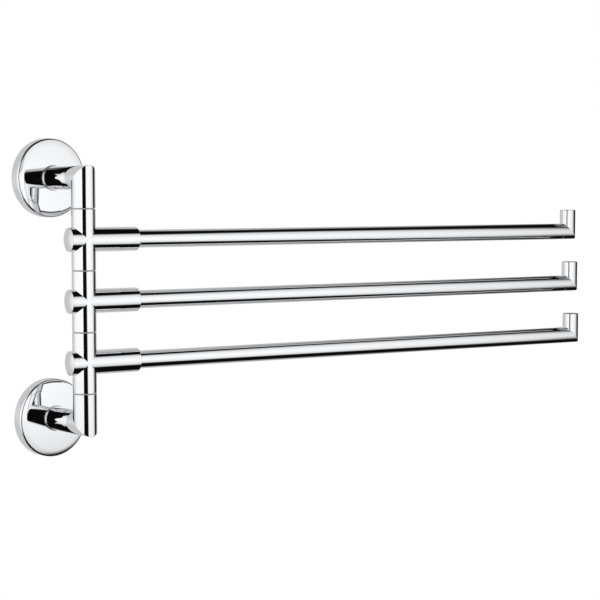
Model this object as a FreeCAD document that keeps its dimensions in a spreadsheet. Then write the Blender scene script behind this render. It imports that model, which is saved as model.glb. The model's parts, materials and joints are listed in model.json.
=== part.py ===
import FreeCAD, Part
import math
import os
import re
import Sketcher
from FreeCAD import Vector

# Swing arm towel bar: three swinging bars on one upright post between two round wall flanges.
# Frame, in millimetres: the wall is the plane Y = 0 and the room is on the -Y side, +X runs to
# the right along the wall and +Z is up. The origin is the middle of the four wall screws.
# Pieces of a flange, an elbow and an arm are drawn in that group's own frame and then placed.

# Driving sizes: name, value, what it is.
SIZES = [
    ("wall_to_spindle", 45.5, "wall to the axis that the arms swing on"),
    ("upper_arm_angle", 9.65, "degrees that the upper arm stands out from the wall at rest"),
    ("middle_arm_angle", 10.05, "the same for the middle arm"),
    ("lower_arm_angle", 10.3, "the same for the lower arm"),
    ("post_dia", 16, "outside of the elbows and of the hubs"),
    ("hub_height", 40, "length of one hub along the post"),
    ("stack_gap", 0.05, "running gap on each side of a thrust washer"),
    ("running_gap", 0.05, "radial gap between the spindle and what turns on it"),
    ("end_chamfer", 0.25, "broken edge on the tube ends that make the seams"),
    # flange: wall plate, cover and what holds them
    ("flange_dia", 53, "outside of the flange cover"),
    ("flange_depth", 9.4, "how far the cover's face stands off the wall"),
    ("flange_front", 2.4, "thickness of the cover's face"),
    ("flange_rim", 3, "thickness of the cover's rim"),
    ("face_radius", 330, "radius of the cover's slightly domed face"),
    ("shoulder_start", 21, "flange axis to where the face starts to bend more"),
    ("shoulder_radius", 28, "radius of that bend"),
    ("edge_radius", 1.5, "rounded edge between the bend and the rim"),
    ("seat_dia", 17.2, "raised seat that the elbow stands on"),
    ("seat_height", 1, "height of that seat over the middle of the cover's face"),
    ("seat_chamfer", 0.6, "broken edge of that seat"),
    ("plate_thick", 4, "thickness of the wall plate"),
    ("plate_gap", 0.2, "radial gap between the plate and the cover"),
    ("plate_taper", 1.2, "how much the plate's rim narrows towards the wall"),
    ("wall_screw_hole", 5, "hole for one wall screw"),
    ("wall_screw_spacing", 30, "distance between the two wall screws of a plate"),
    ("rim_grub_dia", 3, "grub screw under the cover's rim"),
    ("rim_grub_stand", 2.4, "wall to the axis of that grub screw"),
    ("grub_recess", 0.3, "how deep a grub screw's end lies under the surface"),
    ("post_screw_dia", 6, "screw that pulls the elbow onto the cover"),
    ("post_screw_bite", 12, "length of that screw inside the elbow"),
    ("post_head_dia", 10, "its head"),
    ("post_head_height", 3, "height of its head"),
    ("lock_washer_dia", 9.6, "outside of the split lock washer"),
    ("lock_washer_thick", 1.4, "its thickness"),
    ("lock_washer_split", 1, "width of its split"),
    ("screw_gap", 0.2, "radial gap of a screw in a plain hole"),
    ("head_room", 1, "radial room around the post screw's head"),
    ("blind_room", 2, "how much deeper a blind hole is than its screw"),
    # elbow
    ("elbow_drop", 20, "upright leg, from its end face to the level leg's axis"),
    ("spindle_socket", 14, "depth of the spindle's socket in the elbow"),
    ("spindle_grub_dia", 4, "grub screw that locks the spindle"),
    ("spindle_grub_up", 8, "leg's end face to the axis of that grub screw"),
    ("spring_seat_dia", 13, "counterbore for the disc spring"),
    ("spring_seat_depth", 1, "its depth, which is the spring's pressed height"),
    # spindle and what turns on it
    ("spindle_dia", 8, "spindle"),
    ("spindle_chamfer", 0.5, "broken edge on its ends"),
    ("spindle_end_gap", 0.5, "room between the spindle's end and the socket's floor"),
    ("socket_gap", 0.02, "radial gap of a part that is pushed into its socket"),
    ("thrust_washer_dia", 15, "outside of a thrust washer"),
    ("thrust_washer_thick", 0.5, "its thickness"),
    ("spring_dia", 12.6, "outside of the disc spring"),
    ("spring_thick", 0.4, "its thickness"),
    ("bush_dia", 11, "outside of a bush, which is the hub's bore"),
    ("bush_length", 12, "length of a bush"),
    # arm
    ("sleeve_dia", 16, "level tube of the hub, which holds the bar"),
    ("sleeve_reach", 37.9, "spindle's axis to the sleeve's open end"),
    ("sleeve_floor", 10, "spindle's axis to the bottom of the bar's socket"),
    ("sleeve_chamfer", 0.4, "broken edge of the sleeve's open end"),
    ("rear_reach", 12.2, "spindle's axis to the top of the rear cap's face"),
    ("cap_thick", 2.4, "thickness of the rear cap in its middle"),
    ("cap_chamfer", 0.3, "broken edge of the rear cap"),
    ("cap_crown", 22, "radius of the cap's domed face"),
    ("cap_plug_dia", 9, "plug behind the cap's face"),
    ("cap_plug_length", 2, "its length"),
    ("arm_reach", 413.2, "spindle's axis to the hook's upright axis"),
    ("bar_dia", 12, "outside of the bar and of its hook"),
    ("bar_wall", 1, "wall of the bar's tube"),
    ("vent_dia", 1.5, "vent hole near the bar's outer end"),
    ("vent_from_end", 12.5, "bar's end to the vent hole"),
    ("vent_turn", 40, "degrees from straight down to the vent hole, towards the room"),
    ("hook_leg", 7.2, "hook's upright axis to the joint with the bar"),
    ("hook_rise", 16.8, "bar's axis to the top of the hook"),
    ("hook_chamfer", 0.4, "broken edge of the hook's top"),
    ("hook_spigot", 8, "length of the hook's spigot inside the bar"),
]

# Sizes that follow from the driving ones.
DERIVED = {
    "hub_pitch": "hub_height + thrust_washer_thick + 2 * stack_gap",
    "elbow_foot": "1.5 * hub_pitch + 0.5 * (hub_pitch - hub_height)",
    "flange_offset": "elbow_foot + elbow_drop",
    "elbow_base": "flange_depth + seat_height",
    "elbow_leg": "wall_to_spindle - elbow_base",
    "cover_bore": "flange_dia - 2 * flange_rim",
    "cover_floor": "flange_depth - flange_front",
    "plate_dia": "cover_bore - 2 * plate_gap",
    "post_screw_hole": "post_screw_dia + 2 * screw_gap",
    "spindle_bore": "spindle_dia + 2 * running_gap",
    "tube_bore": "bar_dia - 2 * bar_wall",
    "bar_end": "arm_reach - hook_leg",
    "cap_back": "rear_reach - cap_thick",
    "cap_edge": "sleeve_dia / 2 - cap_chamfer",
    "cap_fall": "cap_crown - sqrt(cap_crown * cap_crown - cap_edge * cap_edge)",
    # how far the domed face lies under its middle where the seat stands and where the bend starts
    "seat_fall": "face_radius - sqrt(face_radius * face_radius - seat_dia * seat_dia / 4)",
    "bend_fall": "face_radius - sqrt(face_radius * face_radius - shoulder_start * shoulder_start)",
    # the bend's own axis, the sine and cosine of the tilt where it ends, and that end
    "bend_out": "shoulder_start * (1 - shoulder_radius / face_radius)",
    "bend_up": "flange_depth - face_radius + (face_radius - shoulder_radius) * "
               "(1 - bend_fall / face_radius)",
    "bend_sine": "(flange_dia / 2 - edge_radius - bend_out) / (shoulder_radius - edge_radius)",
    "bend_cosine": "sqrt(1 - bend_sine * bend_sine)",
    "bend_end_out": "bend_out + shoulder_radius * bend_sine",
    "bend_end_up": "bend_up + shoulder_radius * bend_cosine",
    "rim_up": "bend_up + (shoulder_radius - edge_radius) * bend_cosine",
}
SIDES = {"upper": 1, "lower": -1}
ARMS = {"upper": 1, "middle": 0, "lower": -1}

doc = FreeCAD.newDocument("swing_arm_towel_bar")
sheet = doc.addObject("Spreadsheet::Sheet", "sizes")


def fill_sheet():
    """One row for each driving size: its name, its number and a note."""
    for row, (name, value, note) in enumerate(SIZES, 1):
        sheet.set(f"A{row}", name)
        sheet.set(f"B{row}", str(value))
        sheet.setAlias(f"B{row}", name)
        sheet.set(f"C{row}", note)
    doc.recompute()


def full(text):
    """An expression on the sheet's cells, from one that uses the bare names of sizes."""
    cells = {name for name, _, _ in SIZES}

    def spell(match):
        word = match.group(0)
        if word in DERIVED:
            return "(" + full(DERIVED[word]) + ")"
        return "sizes." + word if word in cells else word

    return re.sub(r"[a-z_]+", spell, text)


def number(text):
    return float(sheet.evalExpression(full(text)))


def bind(target, prop, text):
    target.setExpression(prop, full(text))


def make_body(name, place):
    """A body at place, which is a placement expression."""
    body = doc.addObject("PartDesign::Body", name)
    body.Label = name
    bind(body, "Placement", place)
    return body


def sketch_on(body, plane, name, stand="0", tilt="0"):
    """A sketch on one of the body's own planes, stand along its normal and tilted about +X."""
    planes = {item.Role: item for item in body.Origin.OriginFeatures}
    sketch = body.newObject("Sketcher::SketchObject", name)
    sketch.AttachmentSupport = [(planes[plane], "")]
    sketch.MapMode = "FlatFace"
    offset = f"placement(vector(0; 0; {stand}); rotation(vector(1; 0; 0); {tilt}))"
    bind(sketch, "AttachmentOffset", offset)
    return sketch


def pin(sketch, item, point, across, up):
    """Ties a point of a sketch to its two sizes, or to an axis where a size is nought."""
    for text, kind, axis in ((across, "DistanceX", -2), (up, "DistanceY", -1)):
        if text == "0":
            sketch.addConstraint(Sketcher.Constraint("PointOnObject", item, point, axis))
            continue
        rule = Sketcher.Constraint(kind, -1, 1, item, point, number(text))
        index = sketch.addConstraint(rule)
        bind(sketch, f"Constraints[{index}]", text)


def circle(sketch, across, up, diameter):
    centre = Vector(number(across), number(up), 0)
    item = sketch.addGeometry(Part.Circle(centre, Vector(0, 0, 1), number(diameter) / 2), False)
    pin(sketch, item, 3, across, up)
    index = sketch.addConstraint(Sketcher.Constraint("Diameter", item, number(diameter)))
    bind(sketch, f"Constraints[{index}]", diameter)


def path(sketch, corners, closed):
    """Lines through corners, each a pair of size expressions (across, up). A third expression
    makes the way to the next corner a clockwise arc of that radius."""
    spots = [Vector(number(corner[0]), number(corner[1]), 0) for corner in corners]
    count = len(spots) if closed else len(spots) - 1
    ends = []
    for item in range(count):
        follower = spots[(item + 1) % len(spots)]
        if len(corners[item]) == 2:
            sketch.addGeometry(Part.LineSegment(spots[item], follower), False)
            ends.append((1, 2))
            continue
        arc(sketch, item, spots[item], follower, corners[item][2])
        ends.append((2, 1))
    for item in range(count if closed else count - 1):
        follower = (item + 1) % count
        link = Sketcher.Constraint("Coincident", item, ends[item][1], follower, ends[follower][0])
        sketch.addConstraint(link)
    for item, corner in enumerate(corners):
        at_end = item == count
        point = ends[item - 1][1] if at_end else ends[item][0]
        pin(sketch, item - 1 if at_end else item, point, corner[0], corner[1])


def arc(sketch, item, start, end, radius):
    """A clockwise arc, which a sketch stores the other way round, from its end to its start."""
    size = number(radius)
    chord = end - start
    reach = math.sqrt(size ** 2 - (chord.Length / 2) ** 2)
    centre = (start + end) / 2 + Vector(chord.y, -chord.x, 0).normalize() * reach
    turns = [math.atan2(spot.y - centre.y, spot.x - centre.x) for spot in (end, start)]
    whole = Part.Circle(centre, Vector(0, 0, 1), size)
    sketch.addGeometry(Part.ArcOfCircle(whole, *turns), False)
    index = sketch.addConstraint(Sketcher.Constraint("Radius", item, size))
    bind(sketch, f"Constraints[{index}]", radius)


def turned(body, plane, axis, name, corners):
    """A turned solid: a closed outline spun about the sketch's H or V axis."""
    sketch = sketch_on(body, plane, name + "_outline")
    path(sketch, corners, closed=True)
    spin = body.newObject("PartDesign::Revolution", name)
    spin.Profile = sketch
    spin.ReferenceAxis = (sketch, [axis + "_Axis"])
    spin.Angle = 360
    return spin


def bored(body, plane, name, circles, depth=None, stand="0", backwards=False):
    """Round holes: each circle is (across, up, diameter). With no depth they go both ways."""
    sketch = sketch_on(body, plane, name + "_circle", stand)
    for across, up, diameter in circles:
        circle(sketch, across, up, diameter)
    return cut_from(body, name, sketch, depth, backwards)


def cut_from(body, name, sketch, depth=None, backwards=False):
    pocket = body.newObject("PartDesign::Pocket", name)
    pocket.Profile = sketch
    if depth is None:
        pocket.Type = "ThroughAll"
        pocket.Midplane = True
    else:
        bind(pocket, "Length", depth)
        pocket.Reversed = backwards
    return pocket


def hex_socket(body, plane, name, flats, depth, stand, backwards=False):
    """A six-sided key socket, flats wide."""
    sketch = sketch_on(body, plane, name + "_hexagon", stand)
    radius = f"({flats}) / sqrt(3)"
    corners = [(f"{radius} * cos({turn} deg)", f"{radius} * sin({turn} deg)")
               for turn in range(15, 360, 60)]
    path(sketch, corners, closed=True)
    return cut_from(body, name, sketch, depth, backwards)


def mitred(body, plane, name, diameter, ring_plane, corners, stand="0"):
    """A round bar along corners with a square mitre at each bend."""
    ring = sketch_on(body, ring_plane, name + "_ring", stand)
    circle(ring, "0", "0", diameter)
    spine = sketch_on(body, plane, name + "_spine")
    path(spine, corners, closed=False)
    pipe = body.newObject("PartDesign::AdditivePipe", name)
    pipe.Profile = ring
    pipe.Spine = (spine, [f"Edge{index + 1}" for index in range(len(corners) - 1)])
    pipe.Transition = "Right corner"
    return pipe


def break_edges(body, name, size, centres, diameter):
    """A chamfer on the circular edges of this diameter whose centres are given."""
    doc.recompute()
    base = body.Tip
    spots = [Vector(*(number(text) for text in centre)) for centre in centres]
    picked = []
    for index, edge in enumerate(base.Shape.Edges, 1):
        curve = edge.Curve
        if not isinstance(curve, Part.Circle):
            continue
        near = any(curve.Center.distanceToPoint(spot) < 1e-4 for spot in spots)
        if near and abs(2 * curve.Radius - number(diameter)) < 1e-4:
            picked.append(f"Edge{index}")
    chamfer = body.newObject("PartDesign::Chamfer", name)
    chamfer.Base = (base, picked)
    bind(chamfer, "Size", size)
    return chamfer


def shifted(x="0", y="0", z="0"):
    return f"placement(vector({x}; {y}; {z}); rotation(vector(0; 0; 1); 0))"


# Flange pieces. Each flange has its own frame: origin where its axis meets the wall.

def flange_place(side):
    return shifted(z=f"{SIDES[side]} * flange_offset")


def wall_plate(side):
    """Tapered disc that the wall screws hold, with room for the post screw's head."""
    body = make_body(f"{side}_wall_plate", flange_place(side))
    middle = "(post_head_dia / 2 + head_room)"
    turned(body, "XY_Plane", "V", "disc", [
        (middle, "0"),
        ("plate_dia / 2 - plate_taper", "0"),
        ("plate_dia / 2", "-plate_thick"),
        (middle, "-plate_thick"),
    ])
    holes = [(f"{sign}wall_screw_spacing / 2", "0", "wall_screw_hole") for sign in ("-", "")]
    bored(body, "XZ_Plane", "wall_screw_holes", holes)


def flange_cover(side):
    """Round domed cup over the plate, with a seat for the elbow and a grub screw's hole."""
    body = make_body(f"{side}_flange_cover", flange_place(side))
    seat = "seat_dia / 2"
    edge = "flange_dia / 2"
    turned(body, "XY_Plane", "V", "cup", [
        ("post_screw_hole / 2", "-cover_floor"),
        ("cover_bore / 2", "-cover_floor"),
        ("cover_bore / 2", "0"),
        (edge, "0"),
        (edge, "-rim_up", "edge_radius"),
        ("bend_end_out", "-bend_end_up", "shoulder_radius"),
        ("shoulder_start", "-(flange_depth - bend_fall)", "face_radius"),
        (seat, "-(flange_depth - seat_fall)"),
        (seat, "-(elbow_base - seat_chamfer)"),
        (f"{seat} - seat_chamfer", "-elbow_base"),
        ("post_screw_hole / 2", "-elbow_base"),
    ])
    bored(body, "XY_Plane", "grub_hole", [("0", "-rim_grub_stand", "rim_grub_dia")],
          depth="flange_dia")


def rim_grub(side):
    """Grub screw through the underside of the cover's rim, onto the plate's tapered rim."""
    place = shifted(y="-rim_grub_stand", z=f"{SIDES[side]} * flange_offset")
    body = make_body(f"{side}_rim_grub_screw", place)
    tip = "-plate_dia / 2"
    head = "-(flange_dia / 2 - grub_recess)"
    turned(body, "XZ_Plane", "V", "screw", [
        ("0", tip), ("rim_grub_dia / 2", tip), ("rim_grub_dia / 2", head), ("0", head),
    ])
    hex_socket(body, "XY_Plane", "key_socket", "rim_grub_dia / 2", "rim_grub_dia / 2",
               stand=head, backwards=True)


def post_screw(side):
    """Pan head screw from inside the cover into the elbow's level leg."""
    body = make_body(f"{side}_post_screw", flange_place(side))
    seat = "(cover_floor - lock_washer_thick)"
    head = f"({seat} - post_head_height)"
    turned(body, "XY_Plane", "V", "screw", [
        ("0", f"-{head}"),
        ("post_head_dia / 2", f"-{head}"),
        ("post_head_dia / 2", f"-{seat}"),
        ("post_screw_dia / 2", f"-{seat}"),
        ("post_screw_dia / 2", "-(elbow_base + post_screw_bite)"),
        ("0", "-(elbow_base + post_screw_bite)"),
    ])
    hex_socket(body, "XZ_Plane", "key_socket", "post_screw_dia * 2 / 3",
               "post_head_height * 2 / 3", stand=head, backwards=True)


def lock_washer(side):
    """Split ring under the post screw's head."""
    body = make_body(f"{side}_lock_washer", flange_place(side))
    bore = "(post_screw_dia / 2 + screw_gap)"
    turned(body, "XY_Plane", "V", "ring", [
        (bore, "-(cover_floor - lock_washer_thick)"),
        ("lock_washer_dia / 2", "-(cover_floor - lock_washer_thick)"),
        ("lock_washer_dia / 2", "-cover_floor"),
        (bore, "-cover_floor"),
    ])
    sketch = sketch_on(body, "XY_Plane", "split_outline")
    path(sketch, [
        ("0", "0"), ("lock_washer_dia", "0"),
        ("lock_washer_dia", "-2 * cover_floor"), ("0", "-2 * cover_floor"),
    ], closed=True)
    split = body.newObject("PartDesign::Pocket", "split")
    split.Profile = sketch
    split.Midplane = True
    bind(split, "Length", "lock_washer_split")


# Elbow pieces. An elbow's frame: origin where its level leg stands on the flange's seat, with
# the upright leg hanging down. The lower elbow is the same piece turned over about Y.

def elbow_place(side):
    turn = 0 if side == "upper" else 180
    return (f"placement(vector(0; -elbow_base; {SIDES[side]} * flange_offset); "
            f"rotation(vector(0; 1; 0); {turn}))")


def elbow(side):
    """Mitred elbow: level leg on the flange, upright leg that holds the spindle."""
    body = make_body(f"{side}_elbow", elbow_place(side))
    mitred(body, "YZ_Plane", "bend", "post_dia", "XZ_Plane", [
        ("0", "0"), ("-elbow_leg", "0"), ("-elbow_leg", "-elbow_drop"),
    ])
    break_edges(body, "broken_edges", "end_chamfer",
                [("0", "0", "0"), ("0", "-elbow_leg", "-elbow_drop")], "post_dia")
    bored(body, "XZ_Plane", "post_screw_hole", [("0", "0", "post_screw_dia")],
          depth="post_screw_bite + blind_room", backwards=True)
    upright = [("0", "-elbow_leg", "spindle_dia + 2 * socket_gap")]
    bored(body, "XY_Plane", "spindle_hole", upright, depth="spindle_socket",
          stand="-elbow_drop", backwards=True)
    bored(body, "XY_Plane", "spring_seat", [("0", "-elbow_leg", "spring_seat_dia")],
          depth="spring_seat_depth", stand="-elbow_drop", backwards=True)
    lower = side == "lower"
    bored(body, "YZ_Plane", "grub_hole",
          [("-elbow_leg", "-(elbow_drop - spindle_grub_up)", "spindle_grub_dia")],
          depth="post_dia / 2", stand="-post_dia / 2" if lower else "post_dia / 2",
          backwards=lower)


def spindle_grub(side):
    """Grub screw on the right of the elbow's upright leg, tight on the spindle."""
    height = f"{SIDES[side]} * (elbow_foot + spindle_grub_up)"
    place = shifted(y="-wall_to_spindle", z=height)
    body = make_body(f"{side}_spindle_grub_screw", place)
    tip = "(spindle_dia / 2)"
    head = "(post_dia / 2 - grub_recess)"
    turned(body, "XY_Plane", "H", "screw", [
        (tip, "0"), (tip, "spindle_grub_dia / 2"), (head, "spindle_grub_dia / 2"), (head, "0"),
    ])
    hex_socket(body, "YZ_Plane", "key_socket", "spindle_grub_dia / 2", "spindle_grub_dia / 2",
               stand=head)


def disc_spring(side):
    """Cone-shaped spring in the elbow's counterbore, which presses the stack together."""
    turn = 0 if side == "upper" else 180
    place = (f"placement(vector(0; -wall_to_spindle; {SIDES[side]} * elbow_foot); "
             f"rotation(vector(0; 1; 0); {turn}))")
    body = make_body(f"{side}_disc_spring", place)
    turned(body, "XZ_Plane", "V", "cone", [
        ("spindle_bore / 2", "spring_seat_depth - spring_thick"),
        ("spring_dia / 2", "0"),
        ("spring_dia / 2", "spring_thick"),
        ("spindle_bore / 2", "spring_seat_depth"),
    ])


# The post's own axis: the spindle and the thrust washers on it.

def spindle():
    body = make_body("spindle", shifted(y="-wall_to_spindle"))
    end = "(elbow_foot + spindle_socket - spindle_end_gap)"
    radius = "spindle_dia / 2"
    turned(body, "XZ_Plane", "V", "rod", [
        ("0", f"-{end}"),
        (f"{radius} - spindle_chamfer", f"-{end}"),
        (radius, f"-({end} - spindle_chamfer)"),
        (radius, f"{end} - spindle_chamfer"),
        (f"{radius} - spindle_chamfer", end),
        ("0", end),
    ])


def thrust_washer(place):
    """One of the four washers, counted from the top."""
    height = f"{2.5 - place} * hub_pitch"
    body = make_body(f"thrust_washer_{place}", shifted(y="-wall_to_spindle", z=height))
    half = "thrust_washer_thick / 2"
    turned(body, "XZ_Plane", "V", "ring", [
        ("spindle_bore / 2", f"-{half}"),
        ("thrust_washer_dia / 2", f"-{half}"),
        ("thrust_washer_dia / 2", half),
        ("spindle_bore / 2", half),
    ])


# Arm pieces. An arm's frame: origin on the spindle's axis at the bar's height, +X along the bar.

def arm_place(arm):
    return (f"placement(vector(0; -wall_to_spindle; {ARMS[arm]} * hub_pitch); "
            f"rotation(vector(0; 0; 1); -{arm}_arm_angle))")


def arm_hub(arm):
    """Cross of two tubes: the hub that turns on the spindle and the sleeve for the bar."""
    body = make_body(f"{arm}_arm_hub", arm_place(arm))
    top = "hub_height / 2"
    turned(body, "XZ_Plane", "V", "upright_tube", [
        ("0", f"-{top}"),
        ("post_dia / 2 - end_chamfer", f"-{top}"),
        ("post_dia / 2", f"-({top} - end_chamfer)"),
        ("post_dia / 2", f"{top} - end_chamfer"),
        ("post_dia / 2 - end_chamfer", top),
        ("0", top),
    ])
    turned(body, "XZ_Plane", "H", "level_tube", [
        ("-cap_back", "0"),
        ("-cap_back", "sleeve_dia / 2"),
        ("sleeve_reach - sleeve_chamfer", "sleeve_dia / 2"),
        ("sleeve_reach", "sleeve_dia / 2 - sleeve_chamfer"),
        ("sleeve_reach", "0"),
    ])
    bored(body, "XY_Plane", "spindle_bore", [("0", "0", "bush_dia")])
    bored(body, "YZ_Plane", "bar_socket", [("0", "0", "bar_dia")],
          depth="sleeve_reach - sleeve_floor", stand="sleeve_reach")
    bored(body, "YZ_Plane", "cap_recess", [("0", "0", "cap_plug_dia")],
          depth="cap_plug_length", stand="-cap_back", backwards=True)


def rear_cap(arm):
    """Domed round cap that closes the short rear end of the sleeve."""
    body = make_body(f"{arm}_rear_cap", arm_place(arm))
    turned(body, "XZ_Plane", "H", "cap", [
        ("-rear_reach", "0", "cap_crown"),
        ("-(rear_reach - cap_fall)", "cap_edge"),
        ("-(rear_reach - cap_fall - cap_chamfer)", "sleeve_dia / 2"),
        ("-cap_back", "sleeve_dia / 2"),
        ("-cap_back", "cap_plug_dia / 2"),
        ("-(cap_back - cap_plug_length)", "cap_plug_dia / 2"),
        ("-(cap_back - cap_plug_length)", "0"),
    ])


def bush(arm, end):
    """Plain bush pressed into the upper or lower end of the hub."""
    body = make_body(f"{arm}_arm_{end}_bush", arm_place(arm))
    outer = f"{SIDES[end]} * hub_height / 2"
    inner = f"{SIDES[end]} * (hub_height / 2 - bush_length)"
    turned(body, "XZ_Plane", "V", "bush", [
        ("spindle_bore / 2", inner), ("bush_dia / 2", inner),
        ("bush_dia / 2", outer), ("spindle_bore / 2", outer),
    ])


def bar(arm):
    """Round tube from the sleeve to the hook, with a vent hole underneath."""
    body = make_body(f"{arm}_bar", arm_place(arm))
    outside = "bar_dia / 2"
    turned(body, "XZ_Plane", "H", "tube", [
        ("sleeve_floor", "tube_bore / 2"),
        ("sleeve_floor", outside),
        ("bar_end - end_chamfer", outside),
        ("bar_end", f"{outside} - end_chamfer"),
        ("bar_end", "tube_bore / 2"),
    ])
    sketch = sketch_on(body, "XY_Plane", "vent_circle", tilt="-vent_turn")
    circle(sketch, "bar_end - vent_from_end", "0", "vent_dia")
    cut_from(body, "vent", sketch, "bar_dia")


def end_hook(arm):
    """Short mitred upright at the bar's outer end, on a spigot inside the tube."""
    body = make_body(f"{arm}_end_hook", arm_place(arm))
    mitred(body, "XZ_Plane", "bend", "bar_dia", "YZ_Plane", [
        ("bar_end", "0"), ("arm_reach", "0"), ("arm_reach", "hook_rise"),
    ], stand="bar_end")
    break_edges(body, "joint_edge", "end_chamfer", [("bar_end", "0", "0")], "bar_dia")
    break_edges(body, "top_edge", "hook_chamfer", [("arm_reach", "0", "hook_rise")], "bar_dia")
    spigot = sketch_on(body, "YZ_Plane", "spigot_circle", "bar_end")
    circle(spigot, "0", "0", "tube_bore - 2 * socket_gap")
    pad = body.newObject("PartDesign::Pad", "spigot")
    pad.Profile = spigot
    pad.Reversed = True
    bind(pad, "Length", "hook_spigot")


def build():
    """Every sub-part of the towel bar, one body each."""
    for side in SIDES:
        for piece in (wall_plate, flange_cover, rim_grub, post_screw, lock_washer,
                      elbow, spindle_grub, disc_spring):
            piece(side)
    spindle()
    for place in range(1, 5):
        thrust_washer(place)
    for arm in ARMS:
        for piece in (arm_hub, rear_cap, bar, end_hook):
            piece(arm)
        for end in SIDES:
            bush(arm, end)
    doc.recompute()


def check():
    """Stops the build if an object failed, a cut removed nothing or a solid isn't sound."""
    faults = []
    for item in doc.Objects:
        if "Invalid" in item.State or "Error" in item.State:
            faults.append(f"{item.Label}: {item.State}")
        if item.TypeId == "PartDesign::Pocket":
            removed = item.BaseFeature.Shape.Volume - item.Shape.Volume
            if removed <= 0:
                faults.append(f"{item.Label} of {item.getParentGeoFeatureGroup().Label} cuts nothing")
    for body in bodies():
        shape = body.Shape
        if shape.isNull() or not shape.isValid() or len(shape.Solids) != 1:
            faults.append(f"{body.Label}: not one valid solid")
    if faults:
        raise RuntimeError("; ".join(faults))


def bodies():
    return [item for item in doc.Objects if item.TypeId == "PartDesign::Body"]


def export():
    os.makedirs("parts", exist_ok=True)
    for body in bodies():
        body.Shape.exportStep(f"parts/{body.Label}.step")
    box = FreeCAD.BoundBox()
    for body in bodies():
        box.add(body.Shape.BoundBox)
    print(len(bodies()), "pieces,", "box", box)


fill_sheet()
build()
check()
export()
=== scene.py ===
"""Swing arm towel bar in bright chrome: three bars swing on a post between two wall flanges.

The wall is the plane Y = 0 with the room on its -Y side, +X runs right along the wall and +Z
is up. The chromed pieces are drawn here again over their solids, finely and with rounded
edges, because a mirror shows every facet. Their sizes are the solids' own, in millimetres.
"""

import json
from math import asin, atan2, cos, pi, radians, sin, tan

import bpy
from mathutils import Matrix, Vector, geometry


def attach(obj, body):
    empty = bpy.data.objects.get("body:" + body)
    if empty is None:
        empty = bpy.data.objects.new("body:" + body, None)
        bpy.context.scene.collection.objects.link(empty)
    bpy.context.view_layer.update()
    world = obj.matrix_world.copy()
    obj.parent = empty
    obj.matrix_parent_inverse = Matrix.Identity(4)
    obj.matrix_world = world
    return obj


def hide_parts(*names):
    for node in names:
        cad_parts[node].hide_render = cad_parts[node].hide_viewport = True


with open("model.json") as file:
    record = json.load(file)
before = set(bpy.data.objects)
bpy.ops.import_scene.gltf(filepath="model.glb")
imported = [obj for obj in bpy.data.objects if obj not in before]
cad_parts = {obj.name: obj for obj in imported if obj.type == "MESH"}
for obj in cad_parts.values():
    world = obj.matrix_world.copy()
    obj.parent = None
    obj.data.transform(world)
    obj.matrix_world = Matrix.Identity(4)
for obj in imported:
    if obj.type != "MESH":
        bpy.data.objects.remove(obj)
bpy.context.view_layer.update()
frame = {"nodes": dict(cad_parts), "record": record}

MM = 0.001
WELD = 1e-4  # in millimetres: corners this close are one point

# Facets round a tube, a flange cover and a washer, along the three arcs of a cover's face and a
# cap's crown, and across a rounded edge.
TUBE_STEPS, FLANGE_STEPS, WASHER_STEPS = 128, 192, 96
DOME_STEPS, BEND_STEPS, RIM_STEPS, CROWN_STEPS = 12, 16, 12, 10
ROUND_STEPS, WASHER_ROUND_STEPS = 4, 3
# A side hole sits in a patch of its wall: how much longer than the hole the patch is, its rows of
# facets, and the wall's facets that it takes up on each side of each kind of hole.
PATCH_LONG, PATCH_ROWS = 1.4, 8
RIM_GRUB_REACH, SPINDLE_GRUB_REACH, VENT_REACH = 5, 14, 6

# Sizes in millimetres.
SPINDLE_FROM_WALL = 45.5
POST_R = 8.0
HUB_HALF = 20.0
HUB_PITCH = 40.6
END_ROUND = 0.25
CREASE_BLEND = 0.2  # how far the polish has rounded a mitre or a crossing of two tubes

FLANGE_UP = 81.2
FLANGE_R = 26.5
FLANGE_DEPTH = 9.4
FLANGE_FLOOR = 7.0
FLANGE_BORE_R = 23.5
FLANGE_BACK_ROUND = 0.2
FACE_RADIUS = 330.0
BEND_START = 21.0
BEND_RADIUS = 28.0
EDGE_RADIUS = 1.5
SEAT_R = 8.6
SEAT_TOP = 10.4
SEAT_ROUND = 0.6
SCREW_HOLE_R = 3.2
RIM_GRUB_STAND = 2.4
RIM_GRUB_R = 1.5

ELBOW_DROP = 20.0
ELBOW_SCREW_R = 3.0
ELBOW_SCREW_DEPTH = 14.0
SPINDLE_SOCKET_R = 4.02
SPINDLE_SOCKET = 14.0
SPRING_SEAT_R = 6.5
SPRING_SEAT = 1.0
SPINDLE_GRUB_UP = 8.0
SPINDLE_GRUB_R = 2.0

WASHERS = 4
WASHER_R = 7.5
WASHER_BORE_R = 4.05
WASHER_THICK = 0.5
WASHER_ROUND = 0.1
WASHER_CREASE = 40.0  # degrees, past which its shading breaks

BUSH_R = 5.5
SLEEVE_REACH = 37.9
SLEEVE_FLOOR = 10.0
SLEEVE_ROUND = 0.4
MOUTH_ROUND = 0.15
CAP_BACK = 9.8
REAR_REACH = 12.2
CAP_CROWN = 22.0
CAP_ROUND = 0.3
CAP_PLUG_R = 4.5
CAP_PLUG = 2.0

BAR_R = 6.0
BAR_BORE_R = 5.0
BAR_END = 406.0
VENT_R = 0.75
VENT_FROM_END = 12.5
VENT_TURN = 40.0  # degrees from straight down, towards the room
ARM_REACH = 413.2
HOOK_RISE = 16.8
HOOK_ROUND = 0.4
SPIGOT_R = 4.98
SPIGOT = 8.0

# Each arm's height and how many degrees it stands out from the wall at rest.
ARMS = {"upper": (HUB_PITCH, 9.65), "middle": (0.0, 10.05), "lower": (-HUB_PITCH, 10.3)}
# Which way each flange lies from the middle of the post.
SIDES = {"upper": 1, "lower": -1}
UP = Vector((0, 0, 1))


# Materials


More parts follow.
